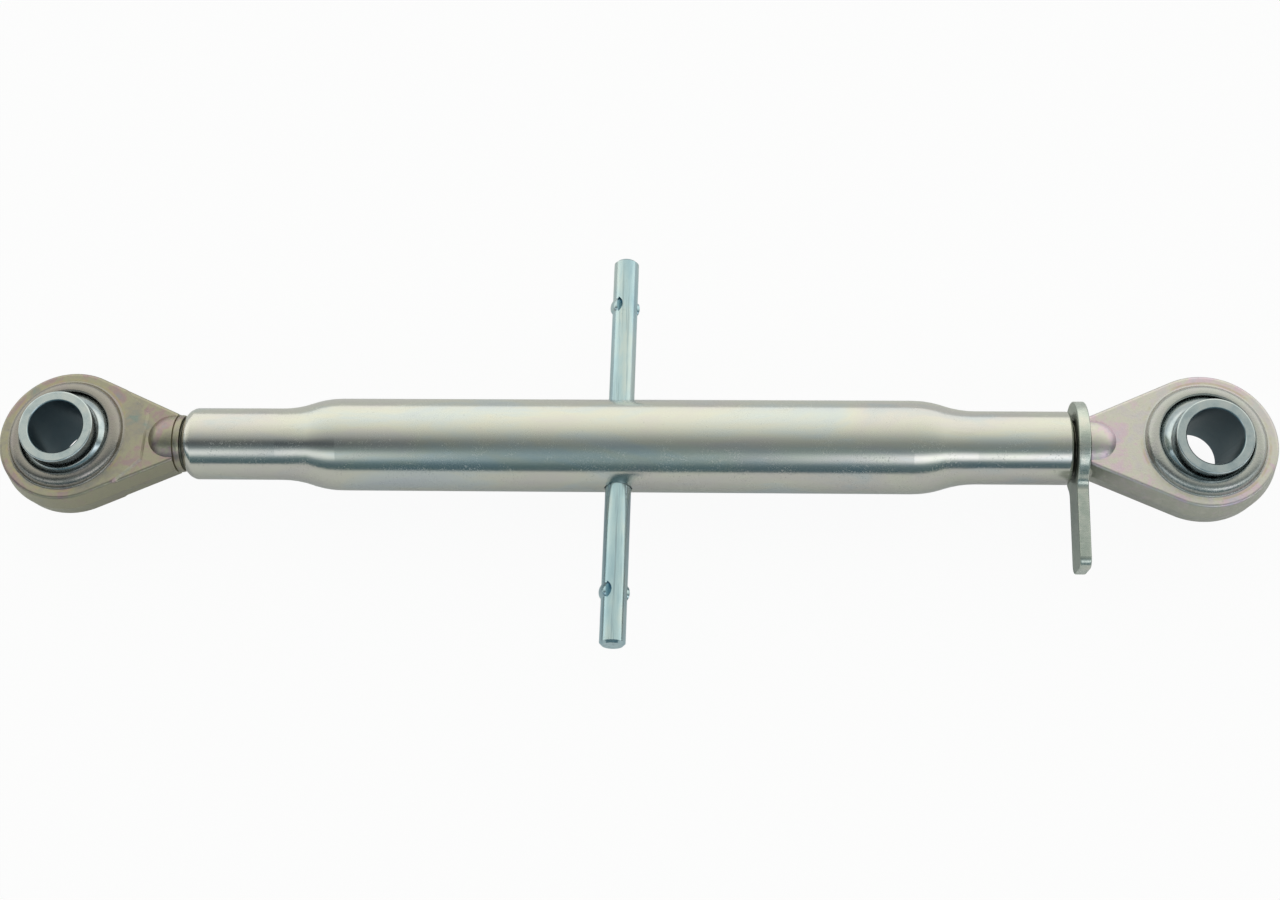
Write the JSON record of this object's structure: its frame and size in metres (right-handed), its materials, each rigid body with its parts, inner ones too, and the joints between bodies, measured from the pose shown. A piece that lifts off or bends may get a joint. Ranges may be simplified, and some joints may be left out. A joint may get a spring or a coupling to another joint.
{
  "type": "tractor top link",
  "caption": "Turnbuckle top link for a three-point hitch: swaged barrel with opposed threads, ball eyes at both ends, sliding tommy bar and lock lever.",
  "frame": {"origin": "midway between the two ball centres, on the link's axis", "axes": "+X along the link from the left eye to the right eye, +Z square to both eyes' faces, +Y square to both"},
  "size_m": [0.5976, 0.195, 0.056],
  "materials": {
    "zinc_barrel": "bright zinc plating on drawn tube",
    "zinc_bar": "bluish zinc plating",
    "zinc_lever": "zinc plating on flame-cut plate",
    "zinc_forging": "iridescent passivated zinc on a forging",
    "zinc_thread": "oiled rolled thread",
    "ball_steel": "polished zinc-plated steel"
  },
  "bodies": {
    "right_rod": {"right_eye": "zinc_forging", "right_threaded_shank": "zinc_thread"},
    "left_rod": {"left_eye": "zinc_forging", "left_threaded_shank": "zinc_thread"},
    "barrel": {"barrel": "zinc_barrel"},
    "tommy_bar": {"tommy_bar": "zinc_bar"},
    "lock_lever": {"lock_lever": "zinc_lever"},
    "left_ball": {"left_ball": "ball_steel"},
    "right_ball": {"right_ball": "ball_steel"}
  },
  "joints": [
    {"name": "lever_feed", "type": "slide", "parent": "right_rod", "child": "lock_lever", "axis": [-1, 0, 0], "range_m": [-0.00125, 0.12]},
    {"name": "barrel_turn", "type": "hinge", "parent": "lock_lever", "child": "barrel", "pos_m": [0, 0, 0], "axis": [1, 0, 0], "range_deg": [-150, 14400]},
    {"name": "tommy_bar_slide", "type": "slide", "parent": "barrel", "child": "tommy_bar", "axis": [0, 1, 0], "range_m": [-0.047, 0.047]},
    {"name": "left_rod_feed", "type": "slide", "parent": "right_rod", "child": "left_rod", "axis": [-1, 0, 0], "range_m": [-0.0025, 0.24]},
    {"name": "left_ball_swivel", "type": "hinge", "parent": "left_rod", "child": "left_ball", "pos_m": [-0.265, 0, 0], "axis": [1, 0, 0], "range_deg": [-18, 7]},
    {"name": "right_ball_swivel", "type": "hinge", "parent": "right_rod", "child": "right_ball", "pos_m": [0.265, 0, 0], "axis": [1, 0, 0], "range_deg": [-22, 2]}
  ],
  "couplings": [
    {"joint": "lever_feed", "follows": "barrel_turn", "m_per_rad": 0.00047746},
    {"joint": "left_rod_feed", "follows": "barrel_turn", "m_per_rad": 0.00095493}
  ]
}
